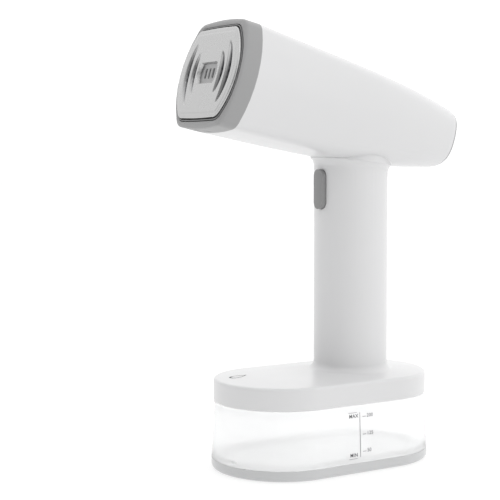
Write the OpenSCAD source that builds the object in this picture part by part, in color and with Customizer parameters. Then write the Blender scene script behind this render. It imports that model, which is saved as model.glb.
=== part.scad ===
// Handheld garment steamer standing on its own water tank.
// Frame: +Z up, the head faces -Y, origin at the centre of the underside of the base.

/* [Base and tank] */
// Width of the tank at its top seam
base_w = 73; // [62:1:88]
// Length of the tank at its top seam
base_l = 128; // [108:1:152]
// How far each side of the tank leans out from the seam to the tray
base_flare = 1.2; // [0:0.1:3]
// Height of the tray under the tank
tray_h = 5.65; // [5:0.05:8]
// Radius of the tray's lower edge
tray_round = 2.6; // [1:0.1:4]
// Height of the clear tank between the tray and the cover
tank_h = 31.25; // [25:0.25:45]
// Wall of the tank
tank_wall = 2; // [1.5:0.1:2.6]
// Height of the tank's neck inside the cover
neck_h = 5; // [4:0.25:7]
// Wall of the tank's neck
neck_wall = 1.6; // [1.2:0.1:2]
// Radius of each rubber foot pad
pad_r = 5.5; // [4:0.25:8]
// Thickness of each rubber foot pad
pad_h = 1.2; // [0.8:0.1:1.5]

/* [Tank cover] */
// Height of the cover's upright side
cover_side_h = 12.2; // [11:0.1:16]
// Wall of the cover
cover_wall = 2.2; // [1.6:0.1:3]
// Radius of the cover's upper edge
cover_round = 1.8; // [0.8:0.1:2.5]
// Rise of the cover's top from its edge to the middle
cover_dome = 1.6; // [0.5:0.1:2.5]
// Height of the soft collar round the foot of the handle
collar_h = 2.8; // [1:0.1:4]
// Width of the soft collar round the foot of the handle
collar_w = 5.5; // [3:0.25:7]

/* [Handle] */
// Distance of the handle behind the middle of the base
handle_y = 20.3; // [10:0.1:28]
// Radius of the handle
handle_r = 20.6; // [17:0.1:24]
// Wall of the handle
handle_wall = 2.4; // [1.8:0.1:3]
// How far the handle flares out where it meets the barrel
flare_w = 2.4; // [0:0.1:4]
// Height of that flare
flare_h = 6; // [4:0.5:14]

/* [Head] */
// Height of the middle of the soleplate over the table
face_z = 213.6; // [195:0.1:240]
// Distance of the middle of the soleplate in front of the base's middle
face_front = 74.4; // [64:0.1:90]
// Upward tilt of the head
head_pitch = 16.4; // [8:0.1:20]
// Rise of the barrel's centre line for each millimetre of its length
axis_rise = 0.071; // [0.03:0.001:0.1]
// Half height of the soleplate
plate_half_h = 24.85; // [21:0.05:29]
// Half width of the soleplate at its middle
plate_half_w = 28.4; // [24:0.1:33]
// Radius of the soleplate's bulging sides
plate_side_r = 34.9; // [30:0.1:60]
// Radius of the soleplate's corners
plate_corner_r = 6.5; // [3:0.1:8]
// Thickness of the soleplate's working part
plate_t = 3.6; // [3:0.1:5]
// Gap round the soleplate
plate_gap = 1.5; // [0.8:0.1:2]
// How far the soleplate stands proud of the bezel
plate_proud = 1.4; // [0.3:0.1:2]
// Half height of the bezel and the barrel's front
front_half_h = 30.2; // [29:0.05:35]
// Half width of the bezel and the barrel's front
front_half_w = 31; // [30.6:0.1:38]
// Radius of the bulging sides of the bezel
front_side_r = 49; // [44:0.5:80]
// Radius of the corners of the bezel
front_corner_r = 8; // [6:0.5:14]
// Depth of the bezel along the head
bezel_l = 10.7; // [9:0.1:16]
// How far the bezel's front face slopes back to its outer edge
bezel_slope = 1.8; // [1.2:0.1:4]

/* [Barrel] */
// Length of the barrel from the bezel to its rear edge
barrel_l = 148; // [120:1:175]
// Rear height of the barrel as a part of its front height
rear_scale = 0.6; // [0.55:0.01:0.8]
// Rear width of the barrel as a part of its front width
rear_width_scale = 0.71; // [0.65:0.01:0.85]
// How suddenly the barrel narrows near its rear
taper_power = 3.9; // [1:0.1:5]
// Share of the narrowing that is spread evenly along the barrel
taper_even = 0.48; // [0:0.02:0.8]
// Sag of the barrel's belly
belly = 0.8; // [0:0.05:2]
// Radius of the barrel's rear edge
rear_round = 7; // [3:0.5:8]
// Radius of the barrel's lengthwise corners at its rear
rear_corner_r = 13.5; // [8:0.5:15]
// Wall of the barrel
barrel_wall = 2.4; // [1.8:0.1:3]

/* [Trigger] */
// Width of the trigger button
trigger_w = 8; // [7:0.1:13]
// Height of the trigger button
trigger_h = 22; // [14:0.1:25]
// Height of the middle of the trigger over the table
trigger_z = 151.5; // [142:0.1:152]
// How far the trigger stands out from the handle
trigger_proud = 2.5; // [0.6:0.1:3.2]
// Travel of the trigger
trigger_travel = 2; // [1:0.1:2.2]

/* [Clearances] */
// Clearance round a piece that slides in an opening
slide_gap = 0.35; // [0.2:0.05:0.6]
// Clearance between fixed pieces that are fitted together
fit_gap = 0.1; // [0.05:0.05:0.3]
// Radial running clearance of a plunger or a pin in its bore
run_gap = 0.05; // [0.02:0.01:0.1]
// Clearance between the tank seal and the tank's neck
seal_gap = 0.3; // [0.2:0.05:0.5]

/* [Hidden] */
eps = 0.01;
cut = 1;

// Base and tank
seam_z = tray_h + tank_h;
seam_r = base_w / 2;
foot_r = seam_r + base_flare;
half_run = (base_l - base_w) / 2;
tray_wall = 1.8;
tank_floor_z = tray_wall + fit_gap;
tank_step_r = foot_r - tray_wall - fit_gap - 1;
neck_r = seam_r - cover_wall - 0.5;
neck_in_r = neck_r - neck_wall;
neck_top = seam_z + neck_h;
mouth_z = seam_z - 4;
tank_in_r = foot_r - tank_wall;
pad_x = seam_r - pad_r - 9;
pad_y = half_run + 12;

// Cover
seam_gap = 0.15;
rim_z = seam_z + cover_side_h;
collar_z = rim_z + cover_dome + collar_h;
plate_z = neck_top + 0.6;
plate_thick = 2;
plug_r = neck_in_r - 1.6;
plug_wall = 1.8;
seal_h = 2.4;
plug_l = seal_h + 2.4;
screw_r = 1.5;
screw_head_r = 2.9;
screw_head_h = 1.8;
suction_end_z = tray_h + 4;
filter_l = 9;
foot_r_in = handle_r - handle_wall;

// Head: shapes are [half height, half width, side radius, crown radius, corner radius]
crown_r = 120;
least_corner_r = 0.8;
plate_shape = [plate_half_h, plate_half_w, plate_side_r, crown_r * 4, plate_corner_r];
front_shape = [front_half_h, front_half_w, front_side_r, crown_r, front_corner_r];
opening_shape = grown(plate_shape, plate_gap);
bezel_back = plate_proud + bezel_l;
side_steps = 4;
corner_steps = 8;
crown_steps = 3;
barrel_steps = 12;
weld_depth = 1.2;
round_steps = 4;
rear_y = bezel_back + barrel_l;
rear_angle = 80;
pocket_w = 14.4;
pocket_h = 10.6;
pocket_side_r = 14;
pocket_depth = 1.2;
slot_w = 1.4;
slot_h = 6;
vent_r = 1.1;
vent_step = 3.4;
groove_r = [26, 34];
groove_x = [14.5, 22];
groove_depth = [1.5, 1.3];
groove_bar_r = [2.6, 2.2];
groove_lean = [18, 14];
chamber_shape = grown(plate_shape, -5.5);
chamber_y = 6;
chamber_l = 15;
chamber_back = chamber_y + chamber_l;
element_r = 3;
element_y = chamber_back + element_r;
element_bend_r = 10;
inlet_z = axis_rise * (chamber_y + 5) - 12;
clamp_t = 1.4;
clamp_half_w = chamber_shape[1] - 5.9;
clamp_half_h = chamber_shape[0] - 3.35;
chamber_screw_x = clamp_half_w - 3;
chamber_screw_z = clamp_half_h - 3;
spigot_l = 5;
spigot_gap = 0.4;

// Handle
bore_r = handle_r - handle_wall;
window_first = floor(barrel_steps * barrel_t(head_y_under(handle_y - bore_r)) + 1);
window_last = floor(barrel_steps * barrel_t(head_y_under(handle_y + bore_r)));
handle_top = under_z(handle_y) + 14;
flare_tilt = atan((under_z(handle_y + handle_r) - under_z(handle_y - handle_r)) / (2 * handle_r));
foot_depth = rim_z - plate_z - plate_thick - 0.3;
collar_base_z = collar_z - fit_gap;

// Pump, on the handle's axis
pump_z = trigger_z - 68;
pump_l = 40;
pump_r = 11;
coil_r = 16;
coil_z = pump_z + 7;
coil_l = 24;
plunger_r = 5;
plunger_z = pump_z + 10;
plunger_l = 18;
plunger_spring_l = 8;
hose_r = 3;

// Trigger, its spring and its switch, along +Y from the handle's front
trigger_back_y = handle_y - bore_r + 1.6;
bracket_y = trigger_back_y + trigger_travel + 2.4;
bracket_t = 1;
stem_r = 1.8;
stem_tip_r = 0.7;
stem_tip_l = 1;
stem_end_y = bracket_y + bracket_t + 0.4;
lever_y = stem_end_y + 0.3;
lever_t = 0.4;
lever_arm = 7;
lever_pin_r = 0.6;
lever_pin_z = trigger_z + lever_arm;
lever_pin_y = lever_y + lever_pin_r + lever_t;
switch_y = lever_pin_y + 2.6;
switch_w = 6.4;
switch_d = 9.6;
switch_h = 19.8;
button_l = 0.8;

// Rear
gland_r = 6.5;
cord_r = 3.3;
gland_flange_r = 8.5;
gland_l = 14;
board_y = 62;
board_l = 46;
board_w = 30;
board_t = 1.6;

function blend(a, b, t) = a + (b - a) * t;

// A shape whose outline lies d outside the given one, with its corners kept round
function grown(shape, d) =
  [shape[0] + d, shape[1] + d, shape[2] + d, shape[3] + d, max(shape[4] + d, least_corner_r)];

// One quarter of a barrel-shaped outline: a bulging side, a corner and a gently crowned top
function quarter(shape) =
  let (
    h = shape[0], w = shape[1], c = shape[4],
    side = [w - shape[2], 0], side_r = shape[2],
    crown = [0, h - shape[3]], crown_radius = shape[3],
    reach_a = side_r - c, reach_b = crown_radius - c,
    line = crown - side, d = norm(line), u = line / d,
    along = (reach_a * reach_a - reach_b * reach_b + d * d) / (2 * d),
    off = sqrt(reach_a * reach_a - along * along),
    corner = side + u * along + off * [-u[1], u[0]],
    a1 = atan2(corner[1] - side[1], corner[0] - side[0]),
    a2 = atan2(corner[1] - crown[1], corner[0] - crown[0])
  )
  concat(
    [for (i = [0:side_steps - 1]) let (t = a1 * i / side_steps) side + side_r * [cos(t), sin(t)]],
    [for (i = [0:corner_steps - 1])
      let (t = blend(a1, a2, i / corner_steps)) corner + c * [cos(t), sin(t)]],
    [for (i = [0:crown_steps])
      let (t = blend(a2, 90, i / crown_steps)) crown + crown_radius * [cos(t), sin(t)]]
  );

// The whole outline, anticlockwise from the middle of its right side
function outline(shape) =
  let (q = quarter(shape), m = len(q) - 1)
  concat(
    [for (i = [0:m - 1]) [q[i][0], q[i][1]]],
    [for (i = [0:m - 1]) [-q[m - i][0], q[m - i][1]]],
    [for (i = [0:m - 1]) [-q[i][0], -q[i][1]]],
    [for (i = [0:m - 1]) [q[m - i][0], -q[m - i][1]]]
  );

// The outline as a ring in the head's frame, y behind the soleplate's face
function ring_at(shape, y) = [for (p = outline(shape)) [p[0], y, p[1] + axis_rise * y]];

// The barrel at t from its front (0) to its rear (1)
function taper(t) = taper_even * t + (1 - taper_even) * pow(t, taper_power);
function barrel_scale(t) = 1 - (1 - rear_scale) * taper(t);
function barrel_shape(t) =
  let (h = barrel_scale(t), w = 1 - (1 - rear_width_scale) * taper(t))
  [
    front_half_h * h, front_half_w * w, front_side_r * w, crown_r * w,
    blend(front_corner_r, rear_corner_r, 1 - (1 - t) * (1 - t))
  ];
function barrel_y(t) = bezel_back + (barrel_l - rear_round) * t;
function barrel_sag(t) = -4 * belly * t * (1 - t);
function barrel_ring(t, inset) =
  let (y = barrel_y(t), shape = grown(barrel_shape(t), -inset))
  [for (p = outline(shape)) [p[0], y, p[1] + axis_rise * y + barrel_sag(t)]];
function rear_ring(a, inset) =
  let (
    y = barrel_y(1) + (rear_round - inset) * sin(a),
    shape = grown(barrel_shape(1), -inset - (rear_round - inset) * (1 - cos(a)))
  )
  [for (p = outline(shape)) [p[0], y, p[1] + axis_rise * y]];

// A place in the head's frame, as [y, z] over the table
function head_point(y, z) =
  [-face_front + y * cos(head_pitch) + z * sin(head_pitch), face_z - y * sin(head_pitch) + z * cos(head_pitch)];

// The barrel's underside at a distance behind the face, in the head's frame and over the table
function barrel_t(y) = (y - bezel_back) / (barrel_l - rear_round);
function belly_z(y) =
  axis_rise * y + barrel_sag(barrel_t(y)) - front_half_h * barrel_scale(barrel_t(y));
function head_y_over(y, z) = (y + face_front - z * sin(head_pitch)) / cos(head_pitch);
function head_y_under(y) = head_y_over(y, belly_z(head_y_over(y, -front_half_h)));
function under_z(y) = head_point(head_y_under(y), belly_z(head_y_under(y)))[1];

// Places the children in the head's frame
module in_head() {
  translate([0, -face_front, face_z])
    rotate([-head_pitch, 0, 0])
      children();
}

// A closed shell from rings: outside from front to back, then inside from back to front
module ring_loop(rings) {
  n = len(rings[0]);
  m = len(rings);
  polyhedron(
    points = [for (r = rings) each r],
    faces = [for (i = [0:m - 1], j = [0:n - 1])
      [i * n + j, i * n + (j + 1) % n, (i + 1) % m * n + (j + 1) % n, (i + 1) % m * n + j]]
  );
}

// A closed solid from rings, from front to back
module ring_stack(rings) {
  n = len(rings[0]);
  m = len(rings);
  polyhedron(
    points = [for (r = rings) each r],
    faces = concat(
      [[for (j = [n - 1:-1:0]) j]],
      [for (i = [0:m - 2], j = [0:n - 1])
        [i * n + j, i * n + (j + 1) % n, (i + 1) * n + (j + 1) % n, (i + 1) * n + j]],
      [[for (j = [0:n - 1]) (m - 1) * n + j]]
    )
  );
}

// A plate with an outline of the head, from y back for a length
module head_plate(shape, y, length) {
  translate([0, y, axis_rise * y])
    rotate([-90, 0, 0])
      linear_extrude(height = length)
        polygon(outline(shape));
}

// A barrel-shaped shell with a window through its wall, from ring i0 to i1 and from point j0 to j1
module ring_tube(outer, inner, i0, i1, j0, j1) {
  n = len(outer[0]);
  m = len(outer);
  all = m * n;
  polyhedron(
    points = concat([for (r = outer) each r], [for (r = inner) each r]),
    faces = [
      for (i = [0:m - 2], j = [0:n - 1]) let (k = (j + 1) % n)
        if (i < i0 || i >= i1 || j < j0 || j >= j1)
          each [
            [i * n + j, i * n + k, (i + 1) * n + k, (i + 1) * n + j],
            [all + i * n + j, all + (i + 1) * n + j, all + (i + 1) * n + k, all + i * n + k]
          ],
      for (j = [0:n - 1]) let (k = (j + 1) % n, last = (m - 1) * n)
        each [[all + j, all + k, k, j], [last + j, last + k, all + last + k, all + last + j]],
      for (j = [j0:j1 - 1]) each [
        [i0 * n + j, i0 * n + j + 1, all + i0 * n + j + 1, all + i0 * n + j],
        [i1 * n + j + 1, i1 * n + j, all + i1 * n + j, all + i1 * n + j + 1]
      ],
      for (i = [i0:i1 - 1]) each [
        [(i + 1) * n + j0, i * n + j0, all + i * n + j0, all + (i + 1) * n + j0],
        [i * n + j1, (i + 1) * n + j1, all + (i + 1) * n + j1, all + i * n + j1]
      ]
    ]
  );
}

// A stadium-shaped body whose side has the given [radius, height] outline
module stadium(profile) {
  for (side = [-1, 1])
    translate([0, side * half_run, 0])
      rotate([0, 0, side * 90 - 90])
        rotate_extrude(angle = 180, $fn = 128)
          polygon(profile);
  for (side = [-1, 1])
    rotate([90, 0, 0])
      linear_extrude(height = 2 * half_run, center = true)
        polygon([for (p = profile) [side * p[0], p[1]]]);
}

// Cuts the corners of a route, so that it bends softly
function softened(p, rounds) =
  rounds == 0 ? p : softened(concat(
    [p[0]],
    [for (i = [0:len(p) - 2]) each [blend(p[i], p[i + 1], 0.25), blend(p[i], p[i + 1], 0.75)]],
    [p[len(p) - 1]]
  ), rounds - 1);

// A soft round bar swept along a route that stays near the YZ plane
module swept_bar(route, r, sides = 12) {
  p = softened(route, 2);
  last = len(p) - 1;
  rings = [for (i = [0:last])
    let (
      t = p[min(i + 1, last)] - p[max(i - 1, 0)],
      u = cross(t, [1, 0, 0]) / norm(cross(t, [1, 0, 0])),
      v = cross(u, t) / norm(t)
    )
    [for (j = [0:sides - 1]) let (a = -360 * j / sides) p[i] + r * (cos(a) * u + sin(a) * v)]
  ];
  ring_stack(rings);
}

// A coil drawn as closed turns, standing on z = 0
module coil_turns(r, wire_r, length, turns) {
  for (i = [0:turns - 1])
    translate([0, 0, wire_r + (length - 2 * wire_r) * i / (turns - 1)])
      rotate_extrude($fn = 48)
        translate([r, 0])
          circle(r = wire_r, $fn = 16);
}

// An upright pill-shaped bar along +Y
module pill_bar(w, h, y0, y1) {
  translate([0, y0, trigger_z])
    rotate([-90, 0, 0])
      union() {
        for (side = [-1, 1])
          translate([0, side * (h - w) / 2, 0])
            cylinder(h = y1 - y0, d = w, $fn = 64);
        translate([-w / 2, -(h - w) / 2, 0])
          cube([w, h - w, y1 - y0]);
      }
}

// Base and tank

module base_tray() {
  color("gainsboro")
    difference() {
      stadium(concat(
        [[0, 0]],
        [for (a = [-90:15:0])
          [foot_r - tray_round + tray_round * cos(a), tray_round + tray_round * sin(a)]],
        [
          [foot_r, tray_h],
          [foot_r - tray_wall, tray_h],
          [foot_r - tray_wall, tray_h - 1.2],
          [foot_r - tray_wall - 1, tray_wall],
          [0, tray_wall]
        ]
      ));
      for (p = pad_places())
        translate([p[0], p[1], -cut])
          cylinder(h = pad_h + cut, r = pad_r + fit_gap, $fn = 64);
    }
}

function pad_places() = [for (x = [-1, 1], y = [-1, 1]) [x * pad_x, y * pad_y]];

module foot_pads() {
  color("dimgray")
    for (p = pad_places())
      translate([p[0], p[1], 0])
        cylinder(h = pad_h, r = pad_r, $fn = 64);
}

module tank() {
  color([0.9, 0.95, 1, 0.4])
    stadium([
      [0, tank_floor_z],
      [tank_step_r - 1, tank_floor_z],
      [tank_step_r, tray_h],
      [foot_r, tray_h],
      [seam_r, seam_z],
      [neck_r, seam_z],
      [neck_r, neck_top],
      [neck_in_r, neck_top],
      [neck_in_r, mouth_z + 1],
      [seam_r - tank_wall, mouth_z - 1],
      [tank_in_r - 0.4, tray_h + 3],
      [tank_in_r - 3, tray_h + 0.4],
      [tank_step_r - 4, tank_floor_z + tank_wall],
      [0, tank_floor_z + tank_wall]
    ]);
}

// Cover, plate and seal

// Outer side of the cover, from its lower edge to the middle of its top
function cover_side(inset) = concat(
  [[seam_r - inset, seam_z + seam_gap]],
  [for (a = [0:15:75])
    [seam_r - cover_round - inset + cover_round * cos(a), rim_z - cover_round - inset + cover_round * sin(a)]],
  [
    [seam_r - cover_round - inset - 2, rim_z - inset + 0.15],
    [seam_r * 0.5, rim_z - inset + cover_dome * 0.75],
    [0, rim_z - inset + cover_dome]
  ]
);

module tank_cover() {
  collar_rise = collar_base_z - rim_z - 0.3;
  outer = cover_side(0);
  inner = cover_side(cover_wall);
  color("white")
    difference() {
      union() {
        stadium(concat(outer, [for (i = [len(inner) - 1:-1:0]) inner[i]]));
        translate([0, handle_y, 0])
          rotate_extrude($fn = 96)
            polygon(concat(
              [[handle_r - 3, rim_z - cover_wall]],
              [[handle_r + collar_w, rim_z - 0.4]],
              [for (a = [0:15:90])
                [handle_r + collar_w * (1 - sin(a)), collar_base_z - collar_rise * cos(a)]],
              [[handle_r - 3, collar_base_z]]
            ));
      }
      translate([0, handle_y, rim_z - foot_depth])
        cylinder(h = foot_depth + collar_h + cover_dome + cut, r = foot_r_in + fit_gap, $fn = 96);
    }
}

module cover_plate() {
  color("whitesmoke")
    difference() {
      union() {
        stadium([
          [0, plate_z],
          [neck_r, plate_z],
          [neck_r, plate_z + plate_thick],
          [0, plate_z + plate_thick]
        ]);
        stadium([
          [plug_r - plug_wall, plate_z - plug_l],
          [plug_r, plate_z - plug_l],
          [plug_r, plate_z],
          [plug_r - plug_wall, plate_z]
        ]);
        stadium([
          [plug_r - eps, plate_z - plug_l],
          [plug_r + 1, plate_z - plug_l],
          [plug_r + 1, plate_z - plug_l + 1],
          [plug_r - eps, plate_z - plug_l + 1]
        ]);
      }
      translate([0, handle_y, plate_z - cut])
        cylinder(h = plate_thick + 2 * cut, r = hose_r + fit_gap, $fn = 48);
      for (p = cover_screw_places())
        translate([p[0], p[1], plate_z - cut])
          cylinder(h = plate_thick + 2 * cut, r = screw_r + fit_gap, $fn = 32);
    }
}

function cover_screw_places() =
  [for (x = [-1, 1], y = [-half_run, 0]) [x * 17, y]];

module cover_screws() {
  color("silver")
    for (p = cover_screw_places())
      translate([p[0], p[1], plate_z - screw_head_h])
        union() {
          cylinder(h = screw_head_h, r = screw_head_r, $fn = 32);
          cylinder(h = screw_head_h + plate_thick + 3, r = screw_r, $fn = 32);
        }
}

module tank_seal() {
  color("gray")
    stadium([
      [plug_r + fit_gap, plate_z - seal_h - 1.3],
      [neck_in_r - seal_gap, plate_z - seal_h - 1.3],
      [neck_in_r - seal_gap, plate_z - 1.3],
      [plug_r + fit_gap, plate_z - 1.3]
    ]);
}

module suction_tube() {
  color("white")
    translate([0, handle_y, suction_end_z + 2])
      difference() {
        cylinder(h = plate_z + plate_thick + 6 - suction_end_z - 2, r = hose_r, $fn = 48);
        translate([0, 0, -cut])
          cylinder(h = plate_z + plate_thick + 6 - suction_end_z, r = hose_r - 1, $fn = 48);
      }
}

module suction_filter() {
  color("lightgray")
    translate([0, handle_y, suction_end_z])
      difference() {
        cylinder(h = filter_l, r = hose_r + 2.2, $fn = 48);
        translate([0, 0, 2])
          cylinder(h = filter_l, r = hose_r, $fn = 48);
        for (a = [0:45:135])
          rotate([0, 0, a])
            translate([-hose_r - 4, -0.5, -cut])
              cube([2 * hose_r + 8, 1, cut + 1.2]);
      }
}

// Handle

// The barrel's form over the handle, a little inside its surface, for the top of the handle to end on
module saddle() {
  y0 = head_y_under(handle_y - handle_r - flare_w);
  y1 = head_y_under(handle_y + handle_r + flare_w);
  mid = (y0 + y1) / 2;
  slope = atan((belly_z(y1) - belly_z(y0)) / (y1 - y0));
  shape = grown(barrel_shape(barrel_t(mid)), -weld_depth);
  reach = y1 - y0;
  in_head()
    translate([0, mid, belly_z(mid) + weld_depth + shape[0]])
      rotate([slope, 0, 0])
        translate([0, -reach, 0])
          rotate([-90, 0, 0])
            linear_extrude(height = 2 * reach)
              polygon(outline(shape));
}

module handle_shell() {
  color("white")
    difference() {
      union() {
        translate([0, handle_y, collar_base_z + fit_gap])
          cylinder(h = handle_top - collar_z, r = handle_r, $fn = 128);
        translate([0, handle_y, rim_z - foot_depth])
          cylinder(h = handle_top - rim_z, r = foot_r_in, $fn = 128);
        translate([0, handle_y, under_z(handle_y)])
          rotate([flare_tilt, 0, 0])
            rotate_extrude($fn = 128)
              polygon(concat(
                [for (a = [0:15:90])
                  [handle_r - 0.3 + (flare_w + 0.3) * (1 - cos(a)), -flare_h + flare_h * sin(a)]],
                [[handle_r + flare_w - 0.4, 0.8], [handle_r - 2, 9], [handle_r - 2, -flare_h]]
              ));
      }
      saddle();
      translate([0, handle_y, rim_z - foot_depth - cut])
        cylinder(h = handle_top, r = foot_r_in - handle_wall, $fn = 128);
      translate([0, handle_y, collar_z + 4])
        cylinder(h = handle_top, r = bore_r, $fn = 128);
      pill_bar(trigger_w + 2 * slide_gap, trigger_h + 2 * slide_gap, handle_y - handle_r - 8, handle_y - 6);
    }
}

// Barrel, bezel and rear cap

function barrel_rings(inset) = concat(
  [for (i = [0:barrel_steps]) barrel_ring(i / barrel_steps, inset)],
  [for (i = [1:round_steps]) rear_ring(i * rear_angle / round_steps, inset)]
);

module barrel_shell() {
  quarter_steps = side_steps + corner_steps + crown_steps;
  color("white")
    in_head()
      ring_tube(
        barrel_rings(0), barrel_rings(barrel_wall), window_first, window_last,
        3 * quarter_steps - crown_steps, 3 * quarter_steps + crown_steps
      );
}

module bezel() {
  slope_y = bezel_slope + plate_proud;
  spigot = grown(front_shape, -barrel_wall - spigot_gap);
  color("darkgray")
    in_head()
      difference() {
        ring_loop([
          ring_at(blend(opening_shape, front_shape, 0.3), plate_proud),
          ring_at(blend(opening_shape, front_shape, 0.6), plate_proud + bezel_slope * 0.25),
          ring_at(blend(opening_shape, front_shape, 0.84), plate_proud + bezel_slope * 0.55),
          ring_at(blend(opening_shape, front_shape, 0.96), slope_y - 0.1),
          ring_at(front_shape, slope_y + 0.9),
          ring_at(front_shape, bezel_back),
          ring_at(spigot, bezel_back),
          ring_at(spigot, bezel_back + spigot_l),
          ring_at(grown(spigot, -1.6), bezel_back + spigot_l),
          ring_at(grown(spigot, -1.6), bezel_back - 2),
          ring_at(opening_shape, bezel_back - 3.5),
          ring_at(opening_shape, plate_proud + 0.3)
        ]);
        translate([0, plate_proud + 5.4, -front_half_h - 0.6])
          rotate([90, 0, 0])
            linear_extrude(height = 5, center = true)
              polygon([[-8, -2], [8, -2], [6.5, 1.4], [-6.5, 1.4]]);
      }
}

module rear_cap() {
  rear_shape = barrel_shape(1);
  edge = rear_y_end();
  disc = grown(rear_shape, -rear_round * (1 - cos(rear_angle)) - fit_gap);
  lip = grown(rear_shape, -barrel_wall - (rear_round - barrel_wall) * (1 - cos(rear_angle)) - fit_gap);
  color("white")
    in_head()
      difference() {
        union() {
          head_plate(lip, edge - 3, 3.5);
          head_plate(disc, edge + fit_gap, 0.6);
          head_plate(grown(disc, -0.6), edge + fit_gap, 1.1);
        }
        translate([0, edge - 5, rear_centre_z()])
          rotate([-90, 0, 0])
            cylinder(h = 10, r = gland_r + fit_gap, $fn = 64);
      }
}

// Where the barrel's rounded rear edge ends, and its centre's height there, in the head's frame
function rear_y_end() = barrel_y(1) + rear_round * sin(rear_angle);
function rear_centre_z() = axis_rise * rear_y_end();

module cord_gland() {
  color("dimgray")
    in_head()
      translate([0, rear_y + 0.6, rear_centre_z()])
        rotate([90, 0, 0])
          difference() {
            union() {
              cylinder(h = gland_l, r = gland_r, $fn = 64);
              translate([0, 0, 6.2])
                cylinder(h = 2, r = gland_flange_r, $fn = 64);
            }
            translate([0, 0, -cut])
              cylinder(h = gland_l + 2 * cut, r = cord_r, $fn = 64);
          }
}

module cord_clamp() {
  color("silver")
    in_head()
      translate([0, rear_y - gland_l - 9, rear_centre_z() - 1])
        difference() {
          translate([-9, 0, -4.6])
            cube([18, 6, 9.2]);
          translate([0, -cut, 1])
            rotate([-90, 0, 0])
              cylinder(h = 6 + 2 * cut, r = cord_r + 0.1, $fn = 48);
        }
}

// Steam end of the head

// Cuts crescent groove i: a bar bent on a radius, deepest at mid height and running out at both ends
module crescent(side, i) {
  translate([side * groove_x[i], groove_depth[i] - groove_bar_r[i], 0])
    rotate([0, 0, side * groove_lean[i]])
      translate([-side * groove_r[i], 0, 0])
        rotate([90, 0, 0])
          rotate_extrude($fn = 64)
            translate([groove_r[i], 0])
              circle(r = groove_bar_r[i], $fn = 24);
}

module soleplate() {
  pocket = [pocket_h / 2, pocket_w / 2, pocket_side_r, crown_r, least_corner_r + 0.4];
  color("silver")
    in_head()
      difference() {
        union() {
          head_plate(grown(plate_shape, -0.6), 0, plate_t);
          head_plate(plate_shape, 0.6, plate_t - 0.6);
          head_plate(grown(plate_shape, -4.6), plate_t - 1, chamber_y - plate_t + 1);
        }
        for (side = [-1, 1]) {
          for (i = [0, 1])
            crescent(side, i);
          for (k = [-1, 0, 1])
            translate([side * (k == 0 ? groove_x[0] - 3.5 : groove_x[1] - 3.6), -cut, k * vent_step])
              rotate([-90, 0, 0])
                cylinder(h = chamber_y + 2 * cut, r = vent_r, $fn = 32);
        }
        head_plate(pocket, -cut, cut + pocket_depth);
        for (x = [-3.6, 0, 3.6])
          translate([x - slot_w / 2, -cut, -slot_h / 2])
            cube([slot_w, chamber_y + 2 * cut, slot_h]);
      }
}

module trim_ring() {
  color("gray")
    in_head()
      ring_loop([
        ring_at(grown(plate_shape, 1.05), 1.3),
        ring_at(grown(plate_shape, 1.05), 4.2),
        ring_at(grown(plate_shape, 0.55), 4.2),
        ring_at(grown(plate_shape, 0.55), 1.3)
      ]);
}

module insulator() {
  color("black")
    in_head()
      ring_loop([
        ring_at(grown(opening_shape, -fit_gap), 4.2),
        ring_at(grown(opening_shape, -fit_gap), 7.6),
        ring_at(grown(plate_shape, -4), 7.6),
        ring_at(grown(plate_shape, -4), 4.2)
      ]);
}

module heat_shield() {
  color("lightgray")
    in_head()
      ring_loop([
        ring_at(grown(plate_shape, -3), 7.7),
        ring_at(grown(plate_shape, -3), chamber_back + 11),
        ring_at(grown(plate_shape, -3.8), chamber_back + 11),
        ring_at(grown(plate_shape, -3.8), 7.7)
      ]);
}

module steam_chamber() {
  color("darkgray")
    in_head()
      difference() {
        head_plate(chamber_shape, chamber_y, chamber_l);
        head_plate(grown(chamber_shape, -4), chamber_y - cut, cut + 6);
        for (p = chamber_screw_places())
          translate([p[0], chamber_back - 8, p[1]])
            rotate([-90, 0, 0])
              cylinder(h = 8 + cut, r = screw_r, $fn = 32);
        translate([0, chamber_y, inlet_z])
          rotate([-90, 0, 0])
            cylinder(h = chamber_l + cut, r = hose_r - 1, $fn = 32);
      }
}

function chamber_screw_places() = [for (x = [-1, 1], z = [-1, 1])
  [x * chamber_screw_x, z * chamber_screw_z + axis_rise * chamber_back]
];

module heating_element() {
  color("dimgray")
    in_head()
      translate([0, element_y, axis_rise * element_y + 2]) {
        rotate([90, 0, 0])
          rotate_extrude(angle = 180, $fn = 64)
            translate([element_bend_r, 0])
              circle(r = element_r, $fn = 32);
        for (side = [-1, 1])
          translate([side * element_bend_r, 0, -12])
            cylinder(h = 12, r = element_r, $fn = 32);
      }
}

module element_clamp() {
  color("silver")
    in_head()
      difference() {
        translate([-clamp_half_w, element_y + element_r, axis_rise * chamber_back - clamp_half_h])
          cube([2 * clamp_half_w, clamp_t, 2 * clamp_half_h]);
        for (p = chamber_screw_places())
          translate([p[0], element_y, p[1]])
            rotate([-90, 0, 0])
              cylinder(h = 10, r = screw_r + fit_gap, $fn = 32);
        translate([0, element_y, axis_rise * chamber_back - 2])
          rotate([-90, 0, 0])
            cylinder(h = 10, r = 6, $fn = 48);
        translate([0, element_y, inlet_z])
          rotate([-90, 0, 0])
            cylinder(h = 10, r = hose_r + 0.3, $fn = 48);
      }
}

module chamber_screws() {
  color("silver")
    in_head()
      for (p = chamber_screw_places())
        translate([p[0], chamber_back - 6, p[1]])
          rotate([-90, 0, 0])
            union() {
              cylinder(h = 6 + 2 * element_r + clamp_t + eps, r = screw_r, $fn = 32);
              translate([0, 0, 6 + 2 * element_r + clamp_t])
                cylinder(h = screw_head_h, r = screw_head_r, $fn = 32);
            }
}

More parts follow.
